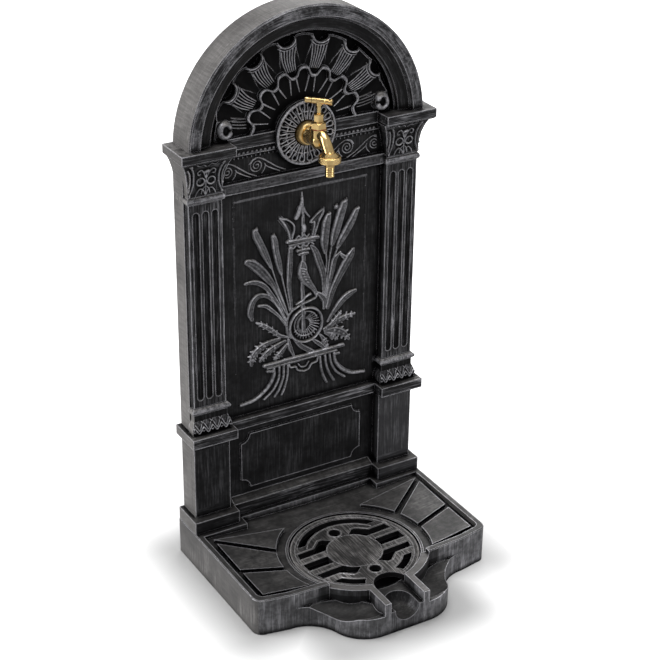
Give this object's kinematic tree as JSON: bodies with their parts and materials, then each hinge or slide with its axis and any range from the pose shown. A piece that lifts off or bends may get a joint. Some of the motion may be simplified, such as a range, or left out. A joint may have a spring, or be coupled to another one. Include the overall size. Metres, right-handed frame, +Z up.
{
  "type": "garden wall fountain",
  "caption": "Wall fountain with a fluted arched back panel, a tray with a round drain grate and front spout, and a tee-handled bib tap.",
  "frame": {"origin": "middle of the object's box on the ground", "axes": "+X to the right, +Y to the wall behind, +Z up"},
  "size_m": [0.4118, 0.342, 0.855],
  "materials": {
    "cast_metal": "black paint, silver dry-brushed on every raised edge, satin",
    "polished_brass": "polished and lacquered",
    "zinc_steel": "zinc plated",
    "rubber": "matt black",
    "fibre": "red fibre and waxed packing"
  },
  "bodies": {
    "fountain": {"base_tray": "cast_metal", "back_panel": "cast_metal", "rosette_plate": "cast_metal", "base_bolts": "zinc_steel", "base_washers": "zinc_steel", "tap_flange": "polished_brass", "tap_body": "polished_brass", "tap_washer": "rubber", "tap_backnut": "polished_brass", "bonnet": "polished_brass", "bonnet_washer": "fibre", "gland_packing": "fibre", "gland_nut": "polished_brass", "union_nut": "polished_brass", "hose_washer": "rubber", "hose_tail": "polished_brass"},
    "grate": {"grate": "cast_metal"},
    "valve": {"jumper": "polished_brass", "jumper_washer": "rubber", "jumper_nut": "polished_brass"},
    "handle": {"spindle": "polished_brass", "tee_handle": "polished_brass", "handle_pin": "polished_brass"}
  },
  "joints": [
    {"name": "grate_lift", "type": "slide", "parent": "fountain", "child": "grate", "axis": [0, 0, 1], "range_m": [0, 0.12]},
    {"name": "valve_lift", "type": "slide", "parent": "fountain", "child": "valve", "axis": [0, 0, 1], "range_m": [0, 0.00438]},
    {"name": "handle_turn", "type": "hinge", "parent": "valve", "child": "handle", "pos_m": [0, 0.0963, 0.725], "axis": [0, 0, 1], "range_deg": [0, 630]}
  ],
  "couplings": [
    {"joint": "handle_turn", "follows": "valve_lift", "rad_per_m": 2513.3}
  ]
}
